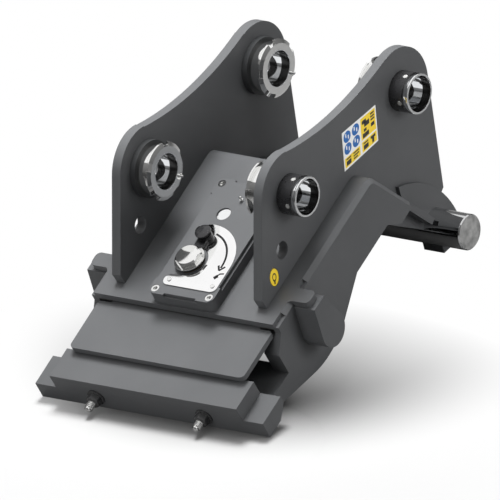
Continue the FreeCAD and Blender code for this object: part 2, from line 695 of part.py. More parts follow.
def make_spindle():
    """Hexagon for the wrench, flange on the lever, drive hexagon in it, journal and a seat for the pinion."""
    top = FLANGE_TOP + HEX_H
    corner = HEX_SW / math.sqrt(3)
    head = slab_on_plate(hexagon(SPINDLE_S, SPINDLE_Y, HEX_SW), FLANGE_TOP, top)
    dome = Part.makeCone(corner + 20, corner * 0.84, 23, V(SPINDLE_S, SPINDLE_Y, top - 23))
    dome.Placement = PLATE_PLACE
    head = head.common(dome)
    flange = disc_on_plate(SPINDLE_S, SPINDLE_Y, FLANGE_R, LEVER_TOP, FLANGE_TOP)
    drive = slab_on_plate(hexagon(SPINDLE_S, SPINDLE_Y, DRIVE_SW), LEVER_BOTTOM, LEVER_TOP)
    journal = disc_on_plate(SPINDLE_S, SPINDLE_Y, SPINDLE_R, GEAR_TOP, LEVER_BOTTOM)
    seat = disc_on_plate(SPINDLE_S, SPINDLE_Y, SPINDLE_R - 2, GEAR_BOTTOM, GEAR_TOP)
    spindle = head.fuse(flange).fuse(drive).fuse(journal).fuse(seat)
    bore = disc_on_plate(SPINDLE_S, SPINDLE_Y, 4 + FIT, GEAR_BOTTOM - 1, GEAR_BOTTOM + 20)
    return spindle.cut(bore).removeSplitter()


def make_pinion_washer():
    return ring_on_plate(SPINDLE_S, SPINDLE_Y, 17, 4.2, GEAR_BOTTOM - 3, GEAR_BOTTOM)


def make_pinion_bolt():
    head = slab_on_plate(hexagon(SPINDLE_S, SPINDLE_Y, 13), GEAR_BOTTOM - 8.5, GEAR_BOTTOM - 3)
    return head.fuse(disc_on_plate(SPINDLE_S, SPINDLE_Y, 4, GEAR_BOTTOM - 3, GEAR_BOTTOM + 18)).removeSplitter()


def make_spindle_bush():
    """Flanged bush whose head carries the lever's eye."""
    inner = SPINDLE_R + FIT
    bush = ring_on_plate(SPINDLE_S, SPINDLE_Y, SPINDLE_R + 4 - FIT, inner, -PLATE_T, COVER_TOP)
    head = ring_on_plate(SPINDLE_S, SPINDLE_Y, LEVER_EYE_R - 1, inner, COVER_TOP, LEVER_BOTTOM - RUN)
    return bush.fuse(head).removeSplitter()


def make_lever():
    """Flat lever with an eye under the spindle's flange and a round boss under the knob."""
    far = SPINDLE_S + LEVER_LEN
    lever = disc_on_plate(SPINDLE_S, SPINDLE_Y, LEVER_EYE_R, LEVER_BOTTOM, LEVER_TOP)
    lever = lever.fuse(block_on_plate(SPINDLE_S, far, SPINDLE_Y - LEVER_W / 2, SPINDLE_Y + LEVER_W / 2,
                                      LEVER_BOTTOM, LEVER_TOP))
    lever = lever.fuse(disc_on_plate(far, SPINDLE_Y, KNOB_R - 1.5, LEVER_BOTTOM, KNOB_BOTTOM))
    lever = lever.cut(slab_on_plate(hexagon(SPINDLE_S, SPINDLE_Y, DRIVE_SW + 2 * FIT), LEVER_BOTTOM - 1,
                                    LEVER_TOP + 1))
    pin_hole = disc_on_plate(far, SPINDLE_Y, PLUNGER_R + FIT, LEVER_BOTTOM - 1, KNOB_BOTTOM + 1)
    return lever.cut(pin_hole).removeSplitter()


def make_plunger_pin():
    far = SPINDLE_S + LEVER_LEN
    return disc_on_plate(far, SPINDLE_Y, PLUNGER_R, LEVER_BOTTOM, KNOB_BOTTOM + RUN)


def make_knob():
    """Turned knob: a waist under a cap with a domed top."""
    far = SPINDLE_S + LEVER_LEN
    low = KNOB_BOTTOM + RUN
    top = low + KNOB_H
    crown = (KNOB_R ** 2 + KNOB_CROWN ** 2) / (2 * KNOB_CROWN)
    waist = Part.makeCylinder(KNOB_R * 0.72, 3, V(far, SPINDLE_Y, low))
    flare = Part.makeCone(KNOB_R * 0.72, KNOB_R, 2, V(far, SPINDLE_Y, low + 1.5))
    cap = Part.makeCylinder(KNOB_R, KNOB_H, V(far, SPINDLE_Y, low + 3.5))
    dome = Part.makeSphere(crown, V(far, SPINDLE_Y, top - crown))
    knob = waist.fuse(flare).fuse(cap).removeSplitter().common(dome)
    knob.Placement = PLATE_PLACE
    return knob


def make_rail():
    """Guide rail on the side plate's inner face, under the tongue's edge and beside it."""
    low = WEDGE_BOTTOM - RUN
    back = HUB_ARM_FRONT - 17
    lip = block_on_plate(2, back, SIDE_IN - RAIL_W, SIDE_IN, low - RAIL_H, low)
    web = block_on_plate(WEDGE_NOSE_BACK + TRAVEL + 6, back, WEDGE_TONGUE_HALF_W + 0.5, SIDE_IN, low, -PLATE_T)
    return lip.fuse(web).removeSplitter()


def make_pads():
    """Thin wear pads between the top plate and the wedge: one in the middle and one at each edge."""
    low = -PLATE_T - PAD_T
    outer = block_on_plate(0, WEDGE_NOSE_BACK + TRAVEL, WEDGE_TONGUE_HALF_W, WEDGE_NOSE_HALF_W, low, -PLATE_T)
    middle = block_on_plate(0, 40, -PAD_HALF_W, PAD_HALF_W, low, -PLATE_T)
    return Part.makeCompound([outer, middle, mirrored(outer)])


# Lock housing

def make_housing():
    w = HOUSING_HALF_W
    wire = rounded([(HOUSING_FRONT, -w, HOUSING_R), (HOUSING_BACK, -w, HOUSING_R), (HOUSING_BACK, w, HOUSING_R),
                    (HOUSING_FRONT, w, HOUSING_R)])
    housing = slab_on_plate(wire, 0, HOUSING_H)
    housing = housing.cut(disc_on_plate(SPINDLE_S, SPINDLE_Y, SPINDLE_R + 4, -1, HOUSING_H + 1))
    for s, y in cover_screw_places():
        housing = housing.cut(disc_on_plate(s, y, 3 + FIT, HOUSING_H - 12, HOUSING_H + 1))
    return housing


def cover_screw_places():
    s0 = HOUSING_FRONT + COVER_SCREW_INSET
    s1 = HOUSING_BACK - COVER_SCREW_INSET
    y = HOUSING_HALF_W - COVER_SCREW_INSET
    return [(s, side * y) for s in (s0, s1) for side in (-1, 1)]


def make_cover():
    w = HOUSING_HALF_W
    wire = rounded([(HOUSING_FRONT, -w, HOUSING_R), (HOUSING_BACK, -w, HOUSING_R), (HOUSING_BACK, w, HOUSING_R),
                    (HOUSING_FRONT, w, HOUSING_R)])
    cover = slab_on_plate(wire, HOUSING_H, COVER_TOP)
    notch = [(HOUSING_FRONT - 1, HOUSING_FRONT + COVER_NOTCH, -w + COVER_LOBE, w - COVER_LOBE),
             (HOUSING_BACK - COVER_NOTCH, HOUSING_BACK + 1, -w + COVER_LOBE, w - COVER_LOBE),
             (HOUSING_FRONT + COVER_LOBE, HOUSING_BACK - COVER_LOBE, w - COVER_NOTCH, w + 1),
             (HOUSING_FRONT + COVER_LOBE, HOUSING_BACK - COVER_LOBE, -w - 1, -w + COVER_NOTCH)]
    for s0, s1, y0, y1 in notch:
        cover = cover.cut(block_on_plate(s0, s1, y0, y1, HOUSING_H - 1, COVER_TOP + 1))
    for s, y in cover_screw_places():
        cover = cover.cut(disc_on_plate(s, y, 6 + FIT, HOUSING_H - 1, COVER_TOP + 1))
    cover = cover.cut(disc_on_plate(SPINDLE_S, SPINDLE_Y, SPINDLE_R + 4, HOUSING_H - 1, COVER_TOP + 1))
    return cover.cut(disc_on_plate(SIGHT_S, SIGHT_Y, SIGHT_R + FIT, HOUSING_H - 1, COVER_TOP + 1))


def make_cover_screws():
    screws = []
    for s, y in cover_screw_places():
        screw = disc_on_plate(s, y, 6, HOUSING_H, COVER_TOP - 0.4)
        screw = screw.fuse(disc_on_plate(s, y, 3, HOUSING_H - 11, HOUSING_H))
        screws.append(screw.cut(slab_on_plate(hexagon(s, y, 6), COVER_TOP - 3.5, COVER_TOP)).removeSplitter())
    return Part.makeCompound(screws)


def sign_rivet_places():
    return [(29.0, 31.0), (30.0, -41.5), (118.5, 30.6)]


def make_sign():
    """Polished plate: a quarter-round field about the spindle, with a lobe at each rivet."""
    (front_s, left_y), (_, right_y), (rear_s, rear_y) = sign_rivet_places()
    open_r = FLANGE_R + 3.5
    edge_y = SPINDLE_Y - SIGN_R
    corner_y = edge_y + SIGN_LOBE_R
    runs = [arc_about(front_s, left_y, SIGN_LOBE_R, 0, 180),
            arc_about(front_s, corner_y, SIGN_LOBE_R, 180, 270),
            arc_about(SPINDLE_S, SPINDLE_Y, SIGN_R, 270, 362),
            arc_about(rear_s, rear_y, SIGN_LOBE_R, 0, 180),
            arc_about(SPINDLE_S, SPINDLE_Y, open_r, 12, -192)]
    sign = slab_on_plate(joined(runs), COVER_TOP, COVER_TOP + SIGN_T)
    for s, y in sign_rivet_places():
        sign = sign.cut(disc_on_plate(s, y, 1.8 + FIT, COVER_TOP - 1, COVER_TOP + 5))
    return sign


def make_rivets():
    rivets = []
    for s, y in sign_rivet_places():
        head = disc_on_plate(s, y, 3.2, COVER_TOP + SIGN_T, COVER_TOP + SIGN_T + 1.0)
        rivets.append(head.fuse(disc_on_plate(s, y, 1.8, COVER_TOP, COVER_TOP + SIGN_T)).removeSplitter())
    return Part.makeCompound(rivets)


def build():
    nodes = {}
    hub_arm = make_hub_arm()
    top_plate = make_top_plate(hub_arm)
    side = make_side_plate()
    ear = make_ear(hub_arm)
    nodes["top_plate"] = top_plate
    pairs = {"side_plate": side, "hub_arm": hub_arm, "ear": ear, "lug": make_lug(),
             "edge_weld": make_edge_weld(), "wedge_rail": make_rail()}
    for name, solid in pairs.items():
        nodes[name + "_left"] = solid
        nodes[name + "_right"] = mirrored(solid)
    for place, x, z, turn in (("front", 0.0, 0.0, FRONT_NUT_TURN),
                              ("rear", REAR_PIN_X, REAR_PIN_Z, REAR_NUT_TURN)):
        nodes["sleeve_%s_left" % place] = make_plain_sleeve(x, z)
        nodes["sleeve_%s_right" % place] = mirrored(make_sleeve(x, z))
        ring = {"round_nut": make_nut(x, z, turn), "collar": make_collar(x, z),
                "boss_ring": tube_y(x, z, BOSS_R, SLEEVE_R + FIT, EAR_IN - BOSS_LEN, EAR_IN)}
        for name, solid in ring.items():
            nodes["%s_%s_left" % (name, place)] = solid
            nodes["%s_%s_right" % (name, place)] = mirrored(solid)
    screws = []
    nipples = []
    for x, z in ((0.0, 0.0), (REAR_PIN_X, REAR_PIN_Z)):
        for angle in SET_SCREW_ANGLES:
            screw_y = EAR_OUT + COLLAR_LEN - SET_SCREW_INSET
            screws.append(radial_bar(x, z, screw_y, angle, SLEEVE_R + FIT, COLLAR_R + 0.3, SET_SCREW_R))
        nipples.append(make_nut_nipple(x, z))
    nodes["set_screws"] = Part.makeCompound(screws + [mirrored(s) for s in screws])
    normal = V(-math.sin(SLOPE), 0, math.cos(SLOPE))
    lid_x, lid_z = on_plate(179, COVER_TOP)
    nodes["grease_nipples"] = Part.makeCompound(nipples + [mirrored(s) for s in nipples]
                                                + [make_nipple(V(lid_x, -1.5, lid_z), normal, 6)])
    half = SHAFT_HALF_LEN
    end_r = SHAFT_R - SHAFT_CHAMFER
    nodes["hinge_shaft"] = turned(SHAFT_X, SHAFT_Z, [(0, -half), (end_r, -half), (SHAFT_R, SHAFT_CHAMFER - half),
                                                     (SHAFT_R, half - SHAFT_CHAMFER), (end_r, half), (0, half)])
    nodes["front_beam"] = make_beam()
    nodes["floor_plate"] = block_on_plate(FLOOR_PLATE_FRONT, FLOOR_PLATE_BACK, -SIDE_IN, SIDE_IN,
                                          BEAM_BOTTOM - FLOOR_PLATE_T, BEAM_BOTTOM)
    nodes["cross_rib"] = block_on_plate(RIB_FRONT, RIB_FRONT + RIB_T, -SIDE_IN, SIDE_IN, RIB_BOTTOM, -PLATE_T)
    nodes["stud_bolts"] = Part.makeCompound([along_plate(y, STUD_R, BEAM_FRONT - STUD_OUT, BEAM_FRONT + 24)
                                             for y in (-STUD_Y, STUD_Y)])
    nodes["stud_washers"] = Part.makeCompound(
        [along_plate(y, 13.0, BEAM_FRONT - 2.5, BEAM_FRONT).cut(
            along_plate(y, STUD_R + FIT, BEAM_FRONT - 5, BEAM_FRONT + 1)) for y in (-STUD_Y, STUD_Y)])
    nodes["stud_nuts"] = Part.makeCompound([make_stud_nut(y) for y in (-STUD_Y, STUD_Y)])
    nodes["wedge_plate"] = make_wedge()
    nodes["rack"] = make_rack()
    nodes["rack_screws"] = make_rack_screws()
    nodes["wear_pads"] = make_pads()
    nodes["spindle"] = make_spindle()
    nodes["pinion"] = make_pinion()
    nodes["pinion_washer"] = make_pinion_washer()
    nodes["pinion_bolt"] = make_pinion_bolt()
    nodes["spindle_bush"] = make_spindle_bush()
    nodes["lever"] = make_lever()
    nodes["plunger_pin"] = make_plunger_pin()
    nodes["plunger_knob"] = make_knob()
    nodes["lock_housing"] = make_housing()
    nodes["housing_cover"] = make_cover()
    nodes["cover_screws"] = make_cover_screws()
    nodes["sight_plug"] = disc_on_plate(SIGHT_S, SIGHT_Y, SIGHT_R, HOUSING_H, COVER_TOP - 1.5)
    nodes["indicator_plate"] = make_sign()
    nodes["indicator_rivets"] = make_rivets()
    return nodes


def save(nodes):
    os.makedirs("parts", exist_ok=True)
    for name, solid in nodes.items():
        assert solid.isValid(), name
        solid.exportStep("parts/%s.step" % name)
    print("%d nodes, %d solids" % (len(nodes), sum(len(s.Solids) for s in nodes.values())))


save(build())
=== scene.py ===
# %% [markdown]
# # An excavator's quick coupler, finished in Blender
#
# A quick coupler sits between an excavator's arm and its bucket. Two ears carry the arm's pins in chromed
# sleeves, a jaw and a sliding wedge hold one pin of the bucket, and hooks on the bucket hang on the long
# hinge shaft. The solids come from the CAD model as they are. This lesson gives them their finishes, adds
# the fine pieces that are too small for the model, and sets up a studio with a parallel camera.

# %% Load the frame
import json
import math
import bpy
import bmesh
from mathutils import Matrix, Vector


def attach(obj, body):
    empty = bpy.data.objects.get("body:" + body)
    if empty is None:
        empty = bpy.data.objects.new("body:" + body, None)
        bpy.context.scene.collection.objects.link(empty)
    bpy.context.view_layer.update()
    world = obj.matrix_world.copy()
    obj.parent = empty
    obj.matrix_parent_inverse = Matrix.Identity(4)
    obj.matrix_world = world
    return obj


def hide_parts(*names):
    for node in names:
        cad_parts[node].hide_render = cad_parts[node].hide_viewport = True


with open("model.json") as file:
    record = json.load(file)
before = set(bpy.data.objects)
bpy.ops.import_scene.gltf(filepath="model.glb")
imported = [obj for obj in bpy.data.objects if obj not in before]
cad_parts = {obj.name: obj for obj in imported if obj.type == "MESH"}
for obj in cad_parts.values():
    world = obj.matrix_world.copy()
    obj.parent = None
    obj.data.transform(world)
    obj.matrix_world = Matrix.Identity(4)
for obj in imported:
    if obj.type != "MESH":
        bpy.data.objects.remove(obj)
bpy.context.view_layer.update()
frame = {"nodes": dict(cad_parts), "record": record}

# %% [markdown]
# ## Places on the coupler
#
# Small pieces sit on the sloping top plate, on the outer face of an ear, on the ends of the shaft or in
# the bores. Sizes are given in millimetres. One helper measures along the top plate from its front edge,
# across it from the middle, and up from its face. The other takes plain x, y and z.

# %% Helpers for places
PLATE_EDGE = Vector((-124.3, 0.0, -129.1))
PLATE_SLOPE = math.radians(16.7)
ALONG = Vector((math.cos(PLATE_SLOPE), 0, math.sin(PLATE_SLOPE)))
ACROSS = Vector((0, 1, 0))
OUT = Vector((-math.sin(PLATE_SLOPE), 0, math.cos(PLATE_SLOPE)))
SPINDLE = (65.0, 16.0)
SIGN_TOP = 21.0


def mm(x, y, z):
    return Vector((x, y, z)) / 1000


def on_plate(along, across, off):
    return (PLATE_EDGE + ALONG * along + ACROSS * across + OUT * off) / 1000


print("spindle at the indicator plate's face:", [round(v, 4) for v in on_plate(*SPINDLE, SIGN_TOP)])

# %% [markdown]
# ## Wiring shader nodes
#
# A finish is a small graph of nodes. Two helpers keep it short: a socket takes either a plain value or
# another node's output. A third one makes a colour ramp from its stops.

# %% Helpers for nodes
def plug(tree, target, sockets):
    """Give each socket a plain value, or link it to another node's output."""
    for socket, value in sockets.items():
        if isinstance(value, bpy.types.NodeSocket):
            tree.links.new(value, target.inputs[socket])
        else:
            target.inputs[socket].default_value = value


def add_node(tree, kind, sockets=None, **settings):
    node = tree.nodes.new("ShaderNode" + kind)
    for name, value in settings.items():
        setattr(node, name, value)
    plug(tree, node, sockets or {})
    return node


def grey(tone):
    return (tone, tone, tone)


def ramp(tree, value, stops, interpolation="LINEAR"):
    """The colour of a ramp, from its (position, colour) stops in order."""
    node = add_node(tree, "ValToRGB", {"Fac": value})
    bar = node.color_ramp
    bar.interpolation = interpolation
    for element, (at, colour) in zip(bar.elements, (stops[0], stops[-1])):
        element.position = at
        element.color = (*colour, 1)
    for at, colour in stops[1:-1]:
        bar.elements.new(at).color = (*colour, 1)
    return node.outputs["Color"]


def start_material(name):
    material = bpy.data.materials.new(name)
    material.use_nodes = True
    return material, material.node_tree, material.node_tree.nodes["Principled BSDF"]


# %% [markdown]
# ## Satin paint over steel plate
#
# The weldment is sprayed in one dark grey. Up close such paint is never one flat tone: the film is a
# little thinner on some areas, and it dries with a fine orange-peel skin. A broad noise shifts the tone,
# a fine one gives the skin as bump, and the Bevel node rounds the light over the plates' cut edges, which
# saves adding real bevels to every solid.

# %% Painted finish
PATCH_SCALE = 9.0
SHEEN_SCALE = 60.0
PEEL_SCALE = 900.0
PEEL_STRENGTH = 0.12
PEEL_DEPTH = 0.0003
SATIN = (0.42, 0.52)
EDGE_RADIUS = 0.0005
EDGE_SAMPLES = 6


def noise(tree, scale, detail=3.0, stretch=(1, 1, 1)):
    place = add_node(tree, "TexCoord").outputs["Object"]
    spread = add_node(tree, "Mapping", {"Vector": place, "Scale": stretch}).outputs["Vector"]
    return add_node(tree, "TexNoise", {"Vector": spread, "Scale": scale, "Detail": detail}).outputs["Fac"]


def skin(tree, height, strength, depth, edge):
    """A bumped surface direction, with rounded edges where edge is a radius in metres."""
    bump = add_node(tree, "Bump", {"Strength": strength, "Distance": depth, "Height": height})
    if edge:
        rounding = add_node(tree, "Bevel", {"Radius": edge}, samples=EDGE_SAMPLES)
        plug(tree, bump, {"Normal": rounding.outputs["Normal"]})
    return bump.outputs["Normal"]


def sheen(tree, texture, rough):
    spread = {"Value": texture, "To Min": rough[0], "To Max": rough[1]}
    return add_node(tree, "MapRange", spread).outputs["Result"]


def patches(tree, texture, dark, light):
    return ramp(tree, texture, [(0.3, dark), (0.7, light)])


def paint(name, dark, light, rough=SATIN, edge=EDGE_RADIUS, patch_scale=PATCH_SCALE):
    material, tree, shader = start_material(name)
    plug(tree, shader, {
        "Base Color": patches(tree, noise(tree, patch_scale, 4.0), dark, light),
        "Roughness": sheen(tree, noise(tree, SHEEN_SCALE), rough),
        "Normal": skin(tree, noise(tree, PEEL_SCALE, 2.0), PEEL_STRENGTH, PEEL_DEPTH, edge)})
    return material


frame_paint = paint("frame_paint", (0.068, 0.070, 0.073), (0.080, 0.082, 0.085))
print("paint nodes:", len(frame_paint.node_tree.nodes))

# %% [markdown]
# ## Bare and plated metals
#
# Chromed sleeves are ground first, so they keep faint lines round the bore. Zinc-plated pieces are nearly
# as bright, and the pinion, rack and bush inside are duller. All of them are a full metal with a
# stretched noise that varies roughness and bump. The stretch runs with the tool's marks.

# %% Metal finishes
TINT_SCALE = 25.0
GRAIN_STRENGTH = 0.1
COARSE_GRAIN = 0.00005
FINE_GRAIN = 0.00001
METAL_EDGE = 0.0004


def metal(name, dark, light, rough, grain_scale, stretch=(1, 1, 1), depth=COARSE_GRAIN):
    material, tree, shader = start_material(name)
    grain = noise(tree, grain_scale, 3.0, stretch)
    plug(tree, shader, {
        "Metallic": 1.0,
        "Base Color": patches(tree, noise(tree, TINT_SCALE), dark, light),
        "Roughness": sheen(tree, grain, rough),
        "Normal": skin(tree, grain, GRAIN_STRENGTH, depth, METAL_EDGE)})
    return material


chrome = metal("chromed_sleeve", (0.84, 0.85, 0.86), (0.90, 0.91, 0.92), (0.02, 0.05), 500, (1, 12, 1),
               FINE_GRAIN)
plated = metal("zinc_plate", (0.82, 0.82, 0.81), (0.90, 0.90, 0.89), (0.03, 0.07), 300, depth=0.000005)
shaft_steel = metal("ground_shaft", (0.60, 0.605, 0.61), (0.68, 0.685, 0.69), (0.04, 0.08), 260, (1, 10, 1),
                    FINE_GRAIN)
polished = metal("polished_sheet", grey(0.92), grey(0.97), (0.03, 0.07), 400, (1, 20, 1), FINE_GRAIN)
machined = metal("machined_steel", grey(0.36), (0.46, 0.46, 0.455), (0.24, 0.36), 300, (8, 1, 1))
bronze = metal("bush_bronze", (0.40, 0.26, 0.11), (0.52, 0.36, 0.17), (0.24, 0.36), 300)
print("metals made:", [m.name for m in (chrome, plated, shaft_steel, polished, machined, bronze)])

# %% [markdown]
# ## Blackened steel, black lever and dry pads
#
# Blackened steel is a thin dark skin, so it is built like a paint. The collars are nearly black, the nuts
# on the beam a little paler. The lever and its knob are powder-coated black, glossier than the frame. The
# pads under the plate are a moulded plastic that runs dry, so they are matt. The rings on the ears' inner
# faces look darker than the plates in the picture, so they get a darker copy of the same paint, which is
# painted shade. The set screws in the collars are small pale spots there.

# %% Coated and moulded finishes
blackened = paint("blackened_steel", (0.015, 0.015, 0.016), (0.020, 0.020, 0.021), (0.22, 0.32), 0.0004)
lever_black = paint("lever_black", (0.008, 0.008, 0.009), (0.014, 0.014, 0.015), (0.16, 0.26), 0.0004)
pad_plastic = paint("pad_plastic", (0.020, 0.020, 0.019), (0.032, 0.032, 0.030), (0.55, 0.70), 0.0004)
nut_black = paint("nut_black", (0.040, 0.040, 0.041), (0.052, 0.052, 0.053), (0.22, 0.32), 0.0004)
screw_zinc = paint("screw_zinc", (0.24, 0.24, 0.235), (0.30, 0.30, 0.295), (0.16, 0.24), 0.0002)
# Painted shade: a darker copy of the frame paint, for the rings on the ears.
shaded_ring_paint = paint("shaded_ring_paint", (0.020, 0.021, 0.022), (0.026, 0.027, 0.028))

slot_finishes = {"painted_steel": frame_paint, "chrome_sleeve": chrome, "bright_steel": plated,
                 "dark_steel": blackened, "polished_sheet": polished, "wear_plastic": pad_plastic,
                 "bush_bronze": bronze, "black_lever": lever_black, "ground_shaft": shaft_steel,
                 "machined_steel": machined}
node_finishes = {"stud_nuts": nut_black, "stud_washers": nut_black, "set_screws": screw_zinc}
# The rings on the ears take the darker copy of the frame paint as painted shade.
for name in frame["nodes"]:
    if name.startswith("boss_ring"):
        node_finishes[name] = shaded_ring_paint
for part in frame["record"]["subparts"]:
    finish = node_finishes.get(part["node"], slot_finishes[part["material_slot"]])
    for slot in frame["nodes"][part["node"]].material_slots:
        slot.material = finish

# %% [markdown]
# ## Smooth round surfaces
#
# The solids arrive as facets. Faces that meet at a shallow angle belong to one curved wall, so they are
# shaded smooth, and every sharper edge stays crisp.

# %% Shade by angle
SMOOTH_ANGLE = math.radians(28)


def shade_round(obj):
    for face in obj.data.polygons:
        face.use_smooth = True
    obj.data.set_sharp_from_angle(angle=SMOOTH_ANGLE)


for obj in frame["nodes"].values():
    shade_round(obj)
print("shaded", len(frame["nodes"]), "solids by angle")

# %% [markdown]
# ## Making small pieces
#
# Each small piece is one mesh, made from outlines that are pushed out to a thickness, or from rings of
# points joined by faces. The last helper here gives the mesh its finish and says which body carries it.

# %% Helpers for meshes
def mesh_from(bm, name):
    mesh = bpy.data.meshes.new(name)
    bm.to_mesh(mesh)
    bm.free()
    return mesh


def merge_meshes(name, meshes):
    bm = bmesh.new()
    for mesh in meshes:
        bm.from_mesh(mesh)
        bpy.data.meshes.remove(mesh)
    return mesh_from(bm, name)


def sheet_mesh(outline, place, bottom, top):
    """A plate from an outline of (a, b) points; place(a, b, height) gives the point in space."""
    bm = bmesh.new()
    face = bm.faces.new([bm.verts.new(place(a, b, bottom)) for a, b in outline])
    made = bmesh.ops.extrude_face_region(bm, geom=[face])
    verts = [v for v in made["geom"] if isinstance(v, bmesh.types.BMVert)]
    bmesh.ops.translate(bm, verts=verts, vec=place(*outline[0], top) - place(*outline[0], bottom))
    bmesh.ops.recalc_face_normals(bm, faces=bm.faces)
    return mesh_from(bm, "sheet")


def circle(radius, count):
    turn = 2 * math.pi / count
    return [(radius * math.cos(i * turn), radius * math.sin(i * turn)) for i in range(count)]


def join_rings(bm, rings):
    for low, high in zip(rings, rings[1:]):
        for i in range(len(low)):
            k = (i + 1) % len(low)
            bm.faces.new((low[i], low[k], high[k], high[i]))


def add_piece(name, meshes, material, body="frame"):
    piece = bpy.data.objects.new(name, merge_meshes(name, meshes))
    bpy.context.scene.collection.objects.link(piece)
    piece.data.materials.append(material)
    shade_round(piece)
    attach(piece, body)
    return piece


# %% [markdown]
# ## Arrow on the indicator plate
#
# The polished plate shows which way the lever turns: a curved line about the spindle with an open arrow
# head at its end, and a few plain strokes beside it. Such marks are engraved and filled with black. Here
# they are a very thin inlay, just proud of the plate.

# %% Arrow inlay
ARROW_RADIUS = 52.5
ARROW_START = -14
ARROW_TIP = -93
ARROW_WIDTH = 3.0
HEAD = {"length": 8.0, "half_width": 5.8, "width": 2.8}
INLAY = (SIGN_TOP - 0.2, SIGN_TOP + 0.12)
STROKES = (((84.5, 0.4), (94.5, 2.4), 2.0), ((54.3, -10.7), (63.3, -12.3), 2.6),
           ((43.5, -35.7), (48.5, -39.7), 5.4), ((47.5, -38.0), (52.7, -41.5), 2.2),
           ((52.2, -41.0), (53.6, -47.0), 2.2))


def arc_band(radius, width, start, end, steps=28):
    inner, outer = [], []
    for i in range(steps + 1):
        angle = math.radians(start + (end - start) * i / steps)
        for r, row in ((radius - width / 2, inner), (radius + width / 2, outer)):
            row.append((SPINDLE[0] + r * math.cos(angle), SPINDLE[1] + r * math.sin(angle)))
    return outer + inner[::-1]


def stroke(start, end, width):
    along = (end - start).normalized() * 0.5
    side = Vector((-along.y, along.x)) * width
    return [tuple(p) for p in (start - side, end - side, end + side, start + side)]


def open_head(radius, at, length, half_width, width):
    """Two strokes that meet in a tip, as an open arrow head on the arc."""
    a = math.radians(at)
    out = Vector((math.cos(a), math.sin(a)))
    ahead = Vector((math.sin(a), -math.cos(a)))
    centre = Vector(SPINDLE) + out * radius
    tip = centre + ahead * length * 0.6
    tail = centre - ahead * length * 0.4
    return [stroke(tail + out * side, tip, width) for side in (-half_width, half_width)]


ink = paint("engraved_black", (0.010, 0.010, 0.011), (0.020, 0.020, 0.021), (0.75, 0.85), 0.0002)
plug(ink.node_tree, ink.node_tree.nodes["Principled BSDF"], {"Specular IOR Level": 0.05})
marks = [arc_band(ARROW_RADIUS, ARROW_WIDTH, ARROW_START, ARROW_TIP)]
marks += open_head(ARROW_RADIUS, ARROW_TIP, **HEAD)
marks += [stroke(Vector(start), Vector(end), width) for start, end, width in STROKES]
add_piece("turn_arrow", [sheet_mesh(mark, on_plate, *INLAY) for mark in marks], ink)
print("marks in the inlay:", len(marks))

# %% [markdown]
# ## Plain colour sheets on the ear
#
# The ear carries a rectangular sheet in white, blue and yellow, and a yellow oval near its foot. On the
# white sheet lie four blue discs, each with two short white strokes, and three yellow panels with dark
# blocks. The oval has a dark rim, and a small ring with a stem inside it. Each colour is a thin layer of
# vinyl on the last.

# %% Vinyl sheets
EAR_FACE = -127.5
SHEET = [Vector(corner) for corner in ((130.9, 14.2), (209.8, 10.9), (197.5, -38.9), (117.6, -38.8))]
DISCS = ((0.14, 0.19), (0.14, 0.50), (0.39, 0.19), (0.39, 0.50))
DISC_HALF = (0.105, 0.145)
DOT = (-0.014, -0.06, 0.014, 0.04)
DOT_SHIFTS = (-0.035, 0.035)
PANELS = ((0.54, 0.05, 0.97, 0.63), (0.03, 0.70, 0.48, 0.95), (0.54, 0.68, 0.97, 0.95))
BLOCKS = ((0.58, 0.13, 0.70, 0.23), (0.64, 0.20, 0.79, 0.33), (0.62, 0.37, 0.70, 0.45),
          (0.58, 0.48, 0.76, 0.60), (0.83, 0.10, 0.94, 0.15), (0.83, 0.18, 0.94, 0.23),
          (0.83, 0.26, 0.94, 0.31), (0.83, 0.37, 0.93, 0.47), (0.07, 0.73, 0.21, 0.77),
          (0.07, 0.80, 0.21, 0.92), (0.28, 0.73, 0.44, 0.77), (0.28, 0.80, 0.44, 0.84),
          (0.28, 0.87, 0.40, 0.91), (0.58, 0.72, 0.72, 0.76), (0.58, 0.79, 0.72, 0.91),
          (0.79, 0.72, 0.93, 0.79), (0.83, 0.79, 0.89, 0.92))
BASE_LAYER = (0.0, 0.25)
COLOUR_LAYER = (0.2, 0.35)
PRINT_LAYER = (0.3, 0.4)
SPOT = Vector((-70.8, -90.4))
SPOT_SIDE = Vector((8.9, -5.6))
SPOT_FOOT = Vector((-4.8, -12.3))
SPOT_STEM = [(-73.2, -94.5), (-70.2, -94.8), (-71.6, -100.5), (-73.8, -100.2)]


def on_ear(a, b, height):
    return mm(a, EAR_FACE - height, b)


def in_sheet(u, v):
    """A place in the sheet, u from left to right and v from top to bottom, each from 0 to 1."""
    top = SHEET[0].lerp(SHEET[1], u)
    low = SHEET[3].lerp(SHEET[2], u)
    return tuple(top.lerp(low, v))


def panel(u0, v0, u1, v1):
    return [in_sheet(u, v) for u, v in ((u0, v0), (u1, v0), (u1, v1), (u0, v1))]


def disc(u, v):
    return [in_sheet(u + DISC_HALF[0] * a, v + DISC_HALF[1] * b) for a, b in circle(1.0, 32)]


def dot(u, v, shift):
    return panel(u + shift + DOT[0], v + shift + DOT[1], u + shift + DOT[2], v + shift + DOT[3])


def oval(scale, count=40):
    return [tuple(SPOT + (SPOT_SIDE * a + SPOT_FOOT * b) * scale) for a, b in circle(1.0, count)]


def oval_ring(inner, outer):
    outside, inside = oval(outer), oval(inner)
    return outside + outside[:1] + inside[:1] + inside[::-1]


def add_vinyl(name, outlines, material, layer):
    add_piece(name, [sheet_mesh(outline, on_ear, *layer) for outline in outlines], material)
    print(name, "shapes:", len(outlines))


def vinyl(name, dark, light):
    return paint(name, dark, light, (0.30, 0.40), 0.0001)


